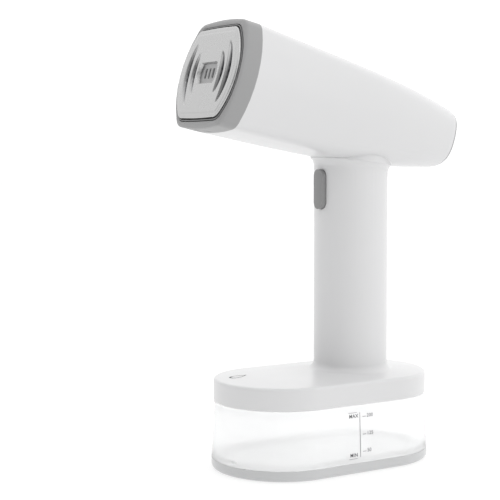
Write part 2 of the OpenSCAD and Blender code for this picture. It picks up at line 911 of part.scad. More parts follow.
module thermostat() {
  color("tan")
    in_head()
      translate([0, chamber_back, axis_rise * chamber_back - 2])
        rotate([-90, 0, 0])
          union() {
            cylinder(h = 5, r = 6.4, $fn = 48);
            cylinder(h = 10, r = 5.2, $fn = 48);
          }
}

module thermal_fuse() {
  color("white")
    in_head()
      translate([-10, element_y + element_r + clamp_t + 1.6, axis_rise * chamber_back + 11])
        rotate([0, 90, 0])
          union() {
            cylinder(h = 20, r = 0.5, $fn = 16);
            translate([0, 0, 5])
              cylinder(h = 10, r = 1.6, $fn = 32);
          }
}

// Pump in the handle

module pump_body() {
  color("black")
    translate([0, handle_y, pump_z])
      difference() {
        union() {
          cylinder(h = pump_l, r = pump_r, $fn = 64);
          translate([0, 0, -6])
            cylinder(h = 6, r = hose_r + 1.4, $fn = 48);
          translate([0, 0, pump_l])
            cylinder(h = 5, r = hose_r + 1.4, $fn = 48);
        }
        translate([0, 0, plunger_z - pump_z])
          cylinder(h = plunger_l + plunger_spring_l, r = plunger_r + run_gap, $fn = 64);
        translate([0, 0, -6 - cut])
          cylinder(h = pump_l + 12, r = 1.5, $fn = 32);
      }
}

module pump_coil() {
  color("sienna")
    translate([0, handle_y, coil_z])
      difference() {
        cylinder(h = coil_l, r = coil_r, $fn = 64);
        translate([0, 0, -cut])
          cylinder(h = coil_l + 2 * cut, r = pump_r + run_gap, $fn = 64);
        for (side = [-1, 1])
          translate([side * (coil_r + 9), 0, -cut])
            cylinder(h = coil_l + 2 * cut, r = 11, $fn = 48);
      }
}

module pump_plunger() {
  color("silver")
    translate([0, handle_y, plunger_z])
      difference() {
        cylinder(h = plunger_l, r = plunger_r, $fn = 64);
        translate([0, 0, -cut])
          cylinder(h = plunger_l + 2 * cut, r = 1.2, $fn = 32);
      }
}

module pump_spring() {
  color("silver")
    translate([0, handle_y, plunger_z + plunger_l])
      coil_turns(3.6, 0.45, plunger_spring_l, 6);
}

module suction_hose() {
  color("whitesmoke")
    translate([0, handle_y, plate_z + plate_thick + 2])
      difference() {
        cylinder(h = pump_z - 2 - plate_z - plate_thick - 2, r = hose_r + 2.6, $fn = 48);
        translate([0, 0, -cut])
          cylinder(h = 4 + cut, r = hose_r, $fn = 48);
        translate([0, 0, pump_z - 6 - plate_z - plate_thick - 2])
          cylinder(h = 10, r = hose_r + 1.4, $fn = 48);
      }
}

module outlet_hose() {
  pump_end = pump_z + pump_l + 5;
  start = head_point(chamber_back, inlet_z);
  bend = head_point(chamber_back + 30, inlet_z);
  color("whitesmoke")
    swept_bar([
      [0, handle_y, pump_end],
      [0, handle_y, pump_end + 2],
      [0, handle_y + 11, pump_end + 6],
      [0, handle_y + 11, under_z(handle_y)],
      [0, handle_y - 4, under_z(handle_y) + 12],
      [0, bend[0], bend[1]],
      [0, start[0], start[1]]
    ], hose_r - 0.4);
}

// Trigger and switch

module trigger() {
  color("gray")
    union() {
      intersection() {
        pill_bar(trigger_w, trigger_h, handle_y - handle_r - 6, trigger_back_y - 0.6);
        translate([0, handle_y, trigger_z - trigger_h])
          cylinder(h = 2 * trigger_h, r = handle_r + trigger_proud, $fn = 128);
      }
      intersection() {
        pill_bar(trigger_w + 3, trigger_h + 3, handle_y - bore_r, trigger_back_y);
        translate([0, handle_y, trigger_z - trigger_h])
          cylinder(h = 2 * trigger_h, r = bore_r - slide_gap, $fn = 128);
      }
      translate([0, trigger_back_y - eps, trigger_z])
        rotate([-90, 0, 0])
          cylinder(h = stem_end_y - stem_tip_l - trigger_back_y, r = stem_r, $fn = 48);
      translate([0, stem_end_y - stem_tip_l - 2 * eps, trigger_z])
        rotate([-90, 0, 0])
          cylinder(h = stem_tip_l, r1 = stem_r, r2 = stem_tip_r, $fn = 48);
    }
}

module trigger_spring() {
  color("silver")
    translate([0, trigger_back_y, trigger_z])
      rotate([-90, 0, 0])
        coil_turns(3.2, 0.3, bracket_y - trigger_back_y, 5);
}

module switch_bracket() {
  color("whitesmoke")
    difference() {
      intersection() {
        union() {
          translate([-bore_r, bracket_y, trigger_z - 16])
            cube([2 * bore_r, bracket_t, 32]);
          translate([-switch_w / 2 - 2.2, bracket_y, trigger_z - 16])
            cube([1.6, switch_y + switch_d - bracket_y, 30]);
          translate([switch_w / 2 + 0.6, bracket_y, trigger_z - 16])
            cube([1.6, switch_y + switch_d - bracket_y, 30]);
        }
        translate([0, handle_y, trigger_z - 20])
          cylinder(h = 40, r = bore_r - run_gap, $fn = 128);
      }
      translate([0, bracket_y - cut, trigger_z])
        rotate([-90, 0, 0])
          cylinder(h = bracket_t + 2 * cut, r = stem_r + slide_gap, $fn = 48);
      translate([-switch_w, lever_pin_y, lever_pin_z])
        rotate([0, 90, 0])
          cylinder(h = 2 * switch_w, r = lever_pin_r + run_gap, $fn = 32);
    }
}

module microswitch() {
  color("black")
    difference() {
      union() {
        translate([-switch_w / 2 + fit_gap, switch_y, trigger_z - 12])
          cube([switch_w - 2 * fit_gap, switch_d, switch_h]);
        translate([-1, switch_y - button_l, trigger_z - 1])
          cube([2, button_l + eps, 2]);
      }
      for (z = [-8, 4])
        translate([-switch_w, switch_y + 6, trigger_z + z])
          rotate([0, 90, 0])
            cylinder(h = 2 * switch_w, r = 1.1, $fn = 32);
    }
}

module switch_lever() {
  color("silver")
    union() {
      translate([-switch_w / 2 - 1.6, lever_pin_y, lever_pin_z])
        rotate([0, 90, 0])
          cylinder(h = switch_w + 3.2, r = lever_pin_r, $fn = 32);
      translate([-2, lever_y, lever_pin_z - lever_arm - 3])
        cube([4, lever_t, lever_arm + 3]);
      translate([-2, lever_y, lever_pin_z - 0.3])
        cube([4, lever_pin_r + lever_t, 0.6]);
    }
}

// Electronics in the barrel

module board_carrier() {
  color("whitesmoke")
    in_head()
      difference() {
        translate([-board_w / 2 - 1.5, board_y - 1.5, axis_rise * board_y + 1])
          cube([board_w + 3, board_l + 3, 4]);
        translate([-board_w / 2 + 1, board_y + 1, axis_rise * board_y])
          cube([board_w - 2, board_l - 2, 8]);
        translate([-board_w / 2 - fit_gap, board_y - fit_gap, axis_rise * board_y + 3])
          cube([board_w + 2 * fit_gap, board_l + 2 * fit_gap, 8]);
      }
}

module circuit_board() {
  top = axis_rise * board_y + 3 + board_t;
  color("seagreen")
    in_head()
      union() {
        translate([-board_w / 2, board_y, top - board_t])
          cube([board_w, board_l, board_t]);
        translate([8, board_y + 12, top - eps])
          cylinder(h = 9, r = 4, $fn = 48);
        translate([8, board_y + 22, top - eps])
          cylinder(h = 7, r = 3.2, $fn = 48);
        translate([4, board_y + 30, top - eps])
          cube([8, 10, 4]);
      }
}

module relay() {
  color("steelblue")
    in_head()
      translate([-12, board_y + 8, axis_rise * board_y + 3 + board_t])
        cube([13, 18, 9]);
}

module terminal_block() {
  color("beige")
    in_head()
      difference() {
        translate([-8, board_y + board_l + 5, axis_rise * rear_y - 12])
          cube([16, 10, 8]);
        for (x = [-4, 4])
          translate([x, board_y + board_l + 10, axis_rise * rear_y - 8])
            cylinder(h = 6, r = 1.6, $fn = 32);
      }
}

module wiring() {
  color("firebrick")
    in_head()
      for (side = [-1, 1])
        translate([side * 4, 0, 0])
          swept_bar([
            [0, board_y + board_l + 15, axis_rise * rear_y - 8],
            [0, board_y + board_l + 18, axis_rise * rear_y - 8],
            [0, rear_y - gland_l - 3, rear_centre_z() - 8.5]
          ], 0.9, 8);
}

base_tray();
foot_pads();
tank();
tank_cover();
cover_plate();
tank_seal();
cover_screws();
suction_tube();
suction_filter();
handle_shell();
barrel_shell();
bezel();
soleplate();
trim_ring();
insulator();
heat_shield();
steam_chamber();
heating_element();
element_clamp();
chamber_screws();
thermostat();
thermal_fuse();
pump_body();
pump_coil();
pump_plunger();
pump_spring();
suction_hose();
outlet_hose();
trigger();
trigger_spring();
switch_bracket();
microswitch();
switch_lever();
board_carrier();
circuit_board();
relay();
terminal_block();
wiring();
rear_cap();
cord_gland();
cord_clamp();
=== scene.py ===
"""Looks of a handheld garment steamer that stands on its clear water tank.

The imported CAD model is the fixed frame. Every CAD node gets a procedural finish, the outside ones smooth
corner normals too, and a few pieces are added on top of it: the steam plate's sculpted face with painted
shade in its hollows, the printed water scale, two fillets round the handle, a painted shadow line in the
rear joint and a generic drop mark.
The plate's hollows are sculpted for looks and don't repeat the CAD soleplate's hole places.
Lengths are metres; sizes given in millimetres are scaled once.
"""
import logging
import math
from dataclasses import dataclass, field
from enum import Enum
from typing import Callable, Iterable, Sequence

import bmesh
import bpy
import numpy as np
from mathutils import Matrix, Vector
from mathutils.bvhtree import BVHTree


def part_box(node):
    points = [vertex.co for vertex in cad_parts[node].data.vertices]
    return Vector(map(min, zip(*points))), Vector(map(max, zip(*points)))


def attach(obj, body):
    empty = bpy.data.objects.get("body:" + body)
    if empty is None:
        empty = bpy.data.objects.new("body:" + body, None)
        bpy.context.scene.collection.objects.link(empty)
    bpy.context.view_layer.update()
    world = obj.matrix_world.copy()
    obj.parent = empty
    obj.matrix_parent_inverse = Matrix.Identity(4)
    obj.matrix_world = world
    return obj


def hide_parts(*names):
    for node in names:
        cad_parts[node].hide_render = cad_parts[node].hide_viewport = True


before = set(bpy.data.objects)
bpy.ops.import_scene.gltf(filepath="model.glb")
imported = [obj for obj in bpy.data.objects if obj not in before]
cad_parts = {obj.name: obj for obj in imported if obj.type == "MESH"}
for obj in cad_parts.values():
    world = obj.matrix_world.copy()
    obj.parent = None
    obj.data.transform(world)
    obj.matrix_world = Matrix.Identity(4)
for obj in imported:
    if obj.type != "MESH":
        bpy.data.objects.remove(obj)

LOG = logging.getLogger("steamer")
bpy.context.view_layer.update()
MM = 0.001

Colour = tuple[float, float, float]


# --------------------------------------------------------------------------- shader maths


class Wire:
    """One output of a shader graph that takes part in arithmetic."""

    def __init__(self, graph: "NodeTree", socket: bpy.types.NodeSocket) -> None:
        """Holds an output socket together with the graph it belongs to."""
        self.graph = graph
        self.socket = socket

    def _math(self, operation: str, *values: "Wire | float") -> "Wire":
        """Adds a Math node whose inputs are the given values."""
        return self.graph.add("ShaderNodeMath", {"operation": operation}, *values)

    def __add__(self, other: "Wire | float") -> "Wire":
        """Sum of two values."""
        return self._math("ADD", self, other)

    def __radd__(self, other: float) -> "Wire":
        """Sum with a number on the left."""
        return self._math("ADD", other, self)

    def __sub__(self, other: "Wire | float") -> "Wire":
        """Difference of two values."""
        return self._math("SUBTRACT", self, other)

    def __rsub__(self, other: float) -> "Wire":
        """Difference with a number on the left."""
        return self._math("SUBTRACT", other, self)

    def __mul__(self, other: "Wire | float") -> "Wire":
        """Product of two values."""
        return self._math("MULTIPLY", self, other)

    def __rmul__(self, other: float) -> "Wire":
        """Product with a number on the left."""
        return self._math("MULTIPLY", other, self)

    def above(self, edge: float, soft: float = 0.05) -> "Wire":
        """A soft step that rises from 0 to 1 where the value passes an edge.

        Args:
            edge: the value at the middle of the step.
            soft: half the width of the step.

        Returns:
            The step, between 0 and 1.
        """
        return self.graph.add(
            "ShaderNodeMapRange",
            {"interpolation_type": "SMOOTHSTEP"},
            self,
            edge - soft,
            edge + soft,
            0.0,
            1.0,
        )


class NodeTree:
    """A node tree that nodes are added to and linked in."""

    def __init__(self, tree: bpy.types.NodeTree) -> None:
        """Starts from an emptied tree."""
        self.tree = tree
        self.tree.nodes.clear()

    def add(self, kind: str, settings: dict[str, object], *values: object, out: int | str = 0) -> Wire:
        """Adds any node and feeds its inputs in order.

        Args:
            kind: the node's type name.
            settings: attributes to set on the node.
            *values: one value for each input, a Wire, a constant, or None to leave it alone.
            out: which output to return.

        Returns:
            The chosen output.
        """
        node = self.tree.nodes.new(kind)
        for key, value in settings.items():
            setattr(node, key, value)
        for socket, value in zip(node.inputs, values):
            self.feed(socket, value)
        return Wire(self, node.outputs[out])

    def feed(self, socket: bpy.types.NodeSocket, value: object) -> None:
        """Links a Wire to an input, or sets the input's own constant."""
        if isinstance(value, Wire):
            self.tree.links.new(value.socket, socket)
        elif value is not None:
            socket.default_value = value


class Graph(NodeTree):
    """A material with its node graph and a Principled shader at its end."""

    def __init__(self, name: str) -> None:
        """Makes an empty material of the given name."""
        self.material = bpy.data.materials.new(name)
        self.material.use_nodes = True
        super().__init__(self.material.node_tree)
        self.shader = self.tree.nodes.new("ShaderNodeBsdfPrincipled")
        output = self.tree.nodes.new("ShaderNodeOutputMaterial")
        self.tree.links.new(self.shader.outputs["BSDF"], output.inputs["Surface"])

    def place(self, scale: Sequence[float] = (1.0, 1.0, 1.0)) -> Wire:
        """The surface point in metres, stretched along each axis."""
        point = self.add("ShaderNodeTexCoord", {}, out="Object")
        return self.add("ShaderNodeVectorMath", {"operation": "MULTIPLY"}, point, tuple(scale))

    def noise(self, scale: float, detail: float = 2.0, stretch: Sequence[float] = (1.0, 1.0, 1.0)) -> Wire:
        """Fractal noise around 0.5 with the given number of features per metre."""
        return self.add(
            "ShaderNodeTexNoise", {}, self.place(stretch), None, scale, detail, 0.55, out="Fac"
        )

    def cells(self, scale: float, stretch: Sequence[float] = (1.0, 1.0, 1.0)) -> Wire:
        """Distance to the nearest point of a cellular pattern."""
        return self.add("ShaderNodeTexVoronoi", {}, self.place(stretch), None, scale, out="Distance")

    def mix(self, factor: Wire | float, low: object, high: object) -> Wire:
        """Blends two colours by a factor."""
        node = self.tree.nodes.new("ShaderNodeMix")
        node.data_type = "RGBA"
        self.feed(node.inputs[0], factor)
        self.feed(node.inputs[6], _rgba(low))
        self.feed(node.inputs[7], _rgba(high))
        return Wire(self, node.outputs[2])

    def bump(self, height: Wire, depth: float, strength: float = 1.0, under: Wire | None = None) -> Wire:
        """A bump normal.

        Args:
            height: the height, 0 to 1.
            depth: what a height of 1 means, in metres.
            strength: how much of the bump is used.
            under: another bump that this one lies on.

        Returns:
            The normal.
        """
        node = self.tree.nodes.new("ShaderNodeBump")
        self.feed(node.inputs["Strength"], strength)
        self.feed(node.inputs["Distance"], depth)
        self.feed(node.inputs["Height"], height)
        self.feed(node.inputs["Normal"], under)
        return Wire(self, node.outputs["Normal"])

    def shade(self, **inputs: object) -> bpy.types.Material:
        """Feeds the Principled shader; names use _ for spaces.

        Args:
            **inputs: an input's name, such as Base_Color, and its Wire or constant.

        Returns:
            The finished material.
        """
        for key, value in inputs.items():
            self.feed(self.shader.inputs[key.replace("_", " ")], _rgba(value))
        return self.material


class Sky(NodeTree):
    """The sky's node graph: its brightness depends on the direction."""

    def __init__(self, name: str) -> None:
        """Makes an empty world of the given name."""
        self.world = bpy.data.worlds.new(name)
        self.world.use_nodes = True
        super().__init__(self.world.node_tree)
        self.direction = self.add("ShaderNodeTexCoord", {}, out="Generated")

    def towards(self, x: float, y: float, z: float) -> Wire:
        """How far the direction points towards a side, from -1 to 1."""
        side = tuple(Vector((x, y, z)).normalized())
        return self.add(
            "ShaderNodeVectorMath", {"operation": "DOT_PRODUCT"}, self.direction, side, out="Value"
        )

    def light(self, strength: Wire) -> bpy.types.World:
        """Ends the graph with a white background of the given strength."""
        colour = (1.0, 1.0, 1.0, 1.0)
        shader = self.add("ShaderNodeBackground", {}, colour, strength)
        output = self.tree.nodes.new("ShaderNodeOutputWorld")
        self.tree.links.new(shader.socket, output.inputs["Surface"])
        return self.world


def _rgba(value: object) -> object:
    """Adds an alpha to a bare colour and leaves everything else alone."""
    if isinstance(value, tuple) and len(value) == 3 and all(isinstance(v, float) for v in value):
        return (*value, 1.0)
    return value


# --------------------------------------------------------------------------- finishes


@dataclass(frozen=True)
class MouldedPlastic:
    """Injection-moulded plastic with a faint orange-peel skin and light handling marks."""

    name: str
    colour: Colour
    roughness: float = 0.3
    grain: float = 9.0e-6
    grain_scale: float = 1400.0
    tint: float = 0.03
    coat: float = 0.0

    def material(self) -> bpy.types.Material:
        """Builds the node material."""
        g = Graph(self.name)
        clouds = g.noise(22.0, 3.0)
        speck = g.noise(2600.0, 1.0)
        shade = clouds * 0.75 + speck * 0.25
        low = tuple(c * (1.0 - self.tint) for c in self.colour)
        high = tuple(min(c * (1.0 + self.tint), 1.0) for c in self.colour)
        rubs = g.noise(60.0, 4.0, (1.0, 1.0, 7.0))
        hairline = g.noise(420.0, 2.0, (1.0, 0.06, 1.0)).above(0.68, 0.05)
        peel = g.noise(self.grain_scale, 2.0)
        wave = g.noise(90.0, 1.0)
        skin = g.bump(wave, self.grain * 3.0)
        return g.shade(
            Base_Color=g.mix(shade, low, high),
            Roughness=self.roughness * (0.86 + rubs * 0.28) + hairline * 0.04,
            Normal=g.bump(peel, self.grain, 1.0, skin),
            Coat_Weight=self.coat,
            Coat_Roughness=0.12,
            Specular_IOR_Level=0.5,
        )


@dataclass(frozen=True)
class ClearPlastic:
    """Clear moulded tank plastic with a milky haze, flow lines and a faint painted glow."""

    name: str
    colour: Colour
    haze: float = 0.25
    clear: float = 0.5
    body: float = 0.72
    # strength of the painted glow
    glow: float = 0.1

    def material(self) -> bpy.types.Material:
        """Builds the node material."""
        g = Graph(self.name)
        flow = g.noise(26.0, 2.0, (1.0, 0.4, 2.0))
        frost = g.noise(900.0, 2.0)
        low = tuple(c * 0.985 for c in self.colour)
        return g.shade(
            Base_Color=g.mix(flow, low, self.colour),
            Roughness=self.haze * (0.7 + flow * 0.6),
            Normal=g.bump(frost, 4.0e-7),
            Alpha=self.body * (0.97 + flow * 0.06),
            # painted light: a faint glow makes the clear plastic read white though it is no lamp
            Emission_Color=g.mix(flow, low, self.colour),
            Emission_Strength=self.glow,
            Transmission_Weight=self.clear,
            IOR=1.08,
            Specular_IOR_Level=0.4,
            Coat_Weight=0.25,
            Coat_Roughness=0.05,
        )


@dataclass(frozen=True)
class Metal:
    """Worked metal with grain along one axis, tarnish clouds and fine scratches."""

    name: str
    colour: Colour
    roughness: float = 0.3
    grain: float = 4.0e-6
    grain_scale: float = 900.0
    along: tuple[float, float, float] = (1.0, 1.0, 1.0)
    cast: float = 0.0
    metallic: float = 1.0

    def material(self) -> bpy.types.Material:
        """Builds the node material."""
        g = Graph(self.name)
        clouds = g.noise(45.0, 4.0)
        brush = g.noise(self.grain_scale, 3.0, self.along)
        pits = g.cells(1700.0)
        low = tuple(c * 0.9 for c in self.colour)
        high = tuple(min(c * 1.06, 1.0) for c in self.colour)
        texture = brush * (1.0 - self.cast) + pits * self.cast
        return g.shade(
            Base_Color=g.mix(clouds * 0.6 + brush * 0.4, low, high),
            Metallic=self.metallic,
            Roughness=self.roughness * (0.75 + clouds * 0.5) + brush * 0.06,
            Normal=g.bump(texture, self.grain * (1.0 + 5.0 * self.cast)),
        )


@dataclass(frozen=True)
class SculptedMetal:
    """Polished cast plate: brushed on its lands, with painted shade (a darker colour) and duller roughness
    down in its hollows.
    """

    name: str
    colour: Colour
    hollow: Colour
    roughness: float = 0.3

    def material(self) -> bpy.types.Material:
        """Builds the node material."""
        g = Graph(self.name)
        # hollow: the painted shade mask from the plate, 0 on the lands and 1 in the grooves, pocket, holes
        # and side walls
        depth = g.add("ShaderNodeAttribute", {"attribute_name": "hollow"}, out="Fac")
        clouds = g.noise(60.0, 4.0)
        brush = g.noise(1300.0, 3.0, (1.0, 1.0, 0.06))
        scale = g.noise(700.0, 3.0)
        land = g.mix(
            clouds * 0.5 + brush * 0.5,
            tuple(c * 0.94 for c in self.colour),
            tuple(min(c * 1.05, 1.0) for c in self.colour),
        )
        # painted shade: the hollows' dark colour stands in for the shade in the grooves, pocket and holes,
        # mottled by noise
        hollow_shade = depth * (0.75 + scale * 0.5)
        return g.shade(
            Base_Color=g.mix(hollow_shade, land, self.hollow),
            Metallic=0.95,
            Roughness=self.roughness * (0.8 + clouds * 0.4) + depth * 0.12,
            Normal=g.bump(brush, 2.0e-6),
        )


@dataclass(frozen=True)
class Rubber:
    """Soft rubber or silicone with a matte, slightly dusty skin."""

    name: str
    colour: Colour
    roughness: float = 0.62

    def material(self) -> bpy.types.Material:
        """Builds the node material."""
        g = Graph(self.name)
        dust = g.noise(140.0, 4.0)
        grain = g.noise(2400.0, 2.0)
        low = tuple(c * 0.85 for c in self.colour)
        high = tuple(min(c * 1.2 + 0.01, 1.0) for c in self.colour)
        return g.shade(
            Base_Color=g.mix(dust, low, high),
            Roughness=self.roughness + dust * 0.16,
            Normal=g.bump(grain, 1.6e-5),
            Sheen_Weight=0.1,
        )


@dataclass(frozen=True)
class Winding:
    """Lacquered copper wire wound in level layers, with painted shade between the turns."""

    name: str
    colour: Colour
    pitch: float = 0.0006

    def material(self) -> bpy.types.Material:
        """Builds the node material."""
        g = Graph(self.name)
        turn = g.add(
            "ShaderNodeTexWave",
            {"wave_type": "BANDS", "bands_direction": "Z"},
            g.place(),
            0.05 / self.pitch,
            0.15,
            1.0,
            out="Fac",
        )
        patina = g.noise(260.0, 3.0)
        # painted shade: the colour darkens in the troughs between turns; the patina noise mixed in is
        # random tone
        dark = tuple(c * 0.45 for c in self.colour)
        return g.shade(
            Base_Color=g.mix(turn * 0.7 + patina * 0.3, dark, self.colour),
            Metallic=0.9,
            Roughness=0.28 + patina * 0.14,
            Normal=g.bump(turn, self.pitch * 0.3),
            Coat_Weight=0.5,
        )


@dataclass(frozen=True)
class CircuitBoard:
    """Solder-masked board with copper traces under the mask."""

    name: str
    colour: Colour

    def material(self) -> bpy.types.Material:
        """Builds the node material."""
        g = Graph(self.name)
        traces = g.add(
            "ShaderNodeTexBrick",
            {"offset": 0.5, "squash": 0.7},
            g.place((260.0, 260.0, 0.0)),
            (0.0, 0.0, 0.0, 1.0),
            (1.0, 1.0, 1.0, 1.0),
            (0.4, 0.4, 0.4, 1.0),
            1.0,
            0.05,
            out="Fac",
        )
        weave = g.noise(1800.0, 1.0)
        dark = tuple(c * 0.7 for c in self.colour)
        light = tuple(c * 1.7 for c in self.colour)
        return g.shade(
            Base_Color=g.mix(traces * 0.7 + weave * 0.3, dark, light),
            Roughness=0.28 + weave * 0.12,
            Normal=g.bump(traces, 3.0e-5),
            Coat_Weight=0.4,
        )


@dataclass(frozen=True)
class PrintedInk:
    """Thin pad-printed ink with slightly uneven cover."""

    name: str
    colour: Colour

    def material(self) -> bpy.types.Material:
        """Builds the node material."""
        g = Graph(self.name)
        cover = g.noise(3000.0, 2.0)
        light = tuple(min(c + 0.05, 1.0) for c in self.colour)
        return g.shade(
            Base_Color=g.mix(cover, self.colour, light),
            Roughness=0.5 + cover * 0.1,
            Normal=g.bump(cover, 4.0e-6),
        )


@dataclass(frozen=True)
class StudioFloor:
    """Plain pale floor that runs out to white."""

    name: str = "studio_floor"
    colour: Colour = (0.36, 0.36, 0.36)
    glow: float = 0.66

    def material(self) -> bpy.types.Material:
        """Builds the node material."""
        g = Graph(self.name)
        mottle = g.noise(6.0, 2.0)
        low = tuple(c * 0.99 for c in self.colour)
        return g.shade(
            Base_Color=g.mix(mottle, low, self.colour),
            Roughness=0.85 + mottle * 0.1,
            Normal=g.bump(g.noise(700.0), 1.0e-5),
            Emission_Color=(1.0, 1.0, 1.0),
            Emission_Strength=self.glow,
        )


class Finish(Enum):
    """Every finish used on the steamer."""

    WHITE_SHELL = MouldedPlastic("white_shell_skin", (0.70, 0.70, 0.705), 0.34, 5.0e-6, coat=0.25)
    LIGHT_TRAY = MouldedPlastic("light_tray_skin", (0.56, 0.565, 0.57), 0.32, 5.0e-6, coat=0.3)
    GREY_BEZEL = MouldedPlastic("grey_bezel_skin", (0.33, 0.33, 0.332), 0.42, 1.0e-5)
    GREY_TRIGGER = MouldedPlastic("grey_trigger_skin", (0.27, 0.27, 0.272), 0.45, 1.2e-5)
    PLAIN = MouldedPlastic("plain_plastic_skin", (0.78, 0.78, 0.76), 0.45, 1.6e-5)
    BLACK = MouldedPlastic("black_plastic_skin", (0.022, 0.022, 0.023), 0.48, 1.8e-5, tint=0.2)
    TRIM = MouldedPlastic("trim_ring_skin", (0.24, 0.24, 0.242), 0.4, 1.0e-5)
    RELAY = MouldedPlastic("relay_skin", (0.08, 0.22, 0.46), 0.4, 1.0e-5, tint=0.1)
    CERAMIC = MouldedPlastic("ceramic_skin", (0.82, 0.79, 0.71), 0.6, 3.0e-5, tint=0.06)
    # both clear finishes get the default painted glow of 0.1
    CLEAR = ClearPlastic("clear_tank_skin", (0.99, 0.993, 0.996))
    CLEAR_TUBE = ClearPlastic("clear_tube_skin", (0.98, 0.985, 0.99), 0.2, 0.9, 0.25)
    # the second colour is the painted shade in the plate's hollows
    PLATE = SculptedMetal("plate_metal_skin", (0.55, 0.55, 0.55), (0.07, 0.07, 0.075), 0.27)
    CAST = Metal("cast_metal_skin", (0.53, 0.53, 0.54), 0.5, 8.0e-6, cast=0.8)
    STEEL = Metal("zinc_steel_skin", (0.6, 0.6, 0.61), 0.36, 3.0e-6)
    COPPER = Winding("copper_winding_skin", (0.72, 0.33, 0.14))
    BOARD = CircuitBoard("circuit_board_skin", (0.04, 0.22, 0.1))
    PAD_RUBBER = Rubber("foot_rubber_skin", (0.09, 0.09, 0.095))
    SEAL_RUBBER = Rubber("silicone_seal_skin", (0.5, 0.51, 0.52), 0.5)
    WIRE = Rubber("wire_sleeve_skin", (0.45, 0.04, 0.03), 0.45)
    INK_DARK = PrintedInk("ink_dark_skin", (0.03, 0.03, 0.035))
    INK_GREY = PrintedInk("ink_grey_skin", (0.18, 0.18, 0.185))
    # painted shadow: this dark strip stands in for the shade in the gap between barrel and rear cap, not
    # print
    SEAM_SHADOW = PrintedInk("seam_shadow_skin", (0.16, 0.16, 0.165))
    FLOOR = StudioFloor()


class Paints:
    """Makes each finish's material once and hands it out."""

    def __init__(self) -> None:
        """Starts with no material made."""
        self._made: dict[Finish, bpy.types.Material] = {}

    def get(self, finish: Finish) -> bpy.types.Material:
        """The material of a finish, made on first use."""
        if finish not in self._made:
            self._made[finish] = finish.value.material()
        return self._made[finish]

    def coat(self, obj: bpy.types.Object, finish: Finish) -> None:
        """Puts one finish on a whole object."""
        obj.data.materials.clear()
        obj.data.materials.append(self.get(finish))
        if obj.type == "MESH":
            for polygon in obj.data.polygons:
                polygon.material_index = 0


# --------------------------------------------------------------------------- meshes


class CornerNormals:
    """Smooth corner normals for a mesh whose triangles may share no vertices."""

    def __init__(self, crease_deg: float = 38.0, cell: float = 2.0e-6) -> None:
        """Sets the angle above which an edge stays sharp, and the size of one place."""
        self.limit = math.cos(math.radians(crease_deg))
        self.cell = cell

    def apply(self, obj: bpy.types.Object) -> None:
        """Gives an object averaged corner normals without touching its vertices."""
        mesh = obj.data
        n_loops, n_faces = len(mesh.loops), len(mesh.polygons)
        co = np.empty(len(mesh.vertices) * 3)
        mesh.vertices.foreach_get("co", co)
        corner_vertex = np.empty(n_loops, np.int64)
        mesh.loops.foreach_get("vertex_index", corner_vertex)
        starts = np.empty(n_faces, np.int64)
        mesh.polygons.foreach_get("loop_start", starts)
        counts = np.empty(n_faces, np.int64)
        mesh.polygons.foreach_get("loop_total", counts)
        normals = np.empty(n_faces * 3)
        mesh.polygons.foreach_get("normal", normals)
        areas = np.empty(n_faces)
        mesh.polygons.foreach_get("area", areas)
        normals = normals.reshape(-1, 3)
        face_of = np.repeat(np.arange(n_faces), counts)
        order = np.concatenate([np.arange(s, s + c) for s, c in zip(starts, counts)])
        face_of_corner = np.empty(n_loops, np.int64)
        face_of_corner[order] = face_of
        places = np.round(co.reshape(-1, 3)[corner_vertex] / self.cell).astype(np.int64)
        _, group = np.unique(places, axis=0, return_inverse=True)
        group = group.reshape(-1)
        by_group = np.argsort(group, kind="stable")
        edges = np.flatnonzero(np.diff(group[by_group])) + 1
        result = np.empty((n_loops, 3))
        for members in np.split(by_group, edges):
            faces = face_of_corner[members]
            own = normals[faces]
            alike = (own @ own.T) > self.limit
            summed = alike @ (own * areas[faces][:, None])
            length = np.linalg.norm(summed, axis=1, keepdims=True)
            result[members] = np.where(length > 1e-12, summed / np.maximum(length, 1e-12), own)
        mesh.polygons.foreach_set("use_smooth", np.ones(n_faces, bool))
        mesh.normals_split_custom_set(result.tolist())


def make_object(
    name: str,
    verts: Iterable[Sequence[float]],
    faces: Iterable[Sequence[int]],
    smooth: bool = True,
) -> bpy.types.Object:
    """Makes a linked mesh object.

    Args:
        name: the piece's name.
        verts: vertex places in metres.
        faces: vertex numbers of each face.
        smooth: whether its faces are shaded smooth.

    Returns:
        The new object.
    """
    mesh = bpy.data.meshes.new(name)
    mesh.from_pydata([tuple(v) for v in verts], [], [tuple(f) for f in faces])
    tidy = bmesh.new()
    tidy.from_mesh(mesh)
    bmesh.ops.recalc_face_normals(tidy, faces=tidy.faces)
    tidy.to_mesh(mesh)
    tidy.free()
    for polygon in mesh.polygons:
        polygon.use_smooth = smooth
    obj = bpy.data.objects.new(name, mesh)
    bpy.context.scene.collection.objects.link(obj)
    return obj


@dataclass(frozen=True)
class HeadFrame:
    """The tilted frame of the head: origin at the middle of the steam plate's face."""

    front: float = 74.4
    height: float = 213.6
    pitch_deg: float = 16.4
    rise: float = 0.071

    def point(self, x: float, y: float, z: float) -> tuple[float, float, float]:
        """A place in metres, from millimetres across, behind and above the plate's middle."""
        c, s = math.cos(math.radians(self.pitch_deg)), math.sin(math.radians(self.pitch_deg))
        up = z + self.rise * y
        return (x * MM, (-self.front + y * c + up * s) * MM, (self.height - y * s + up * c) * MM)


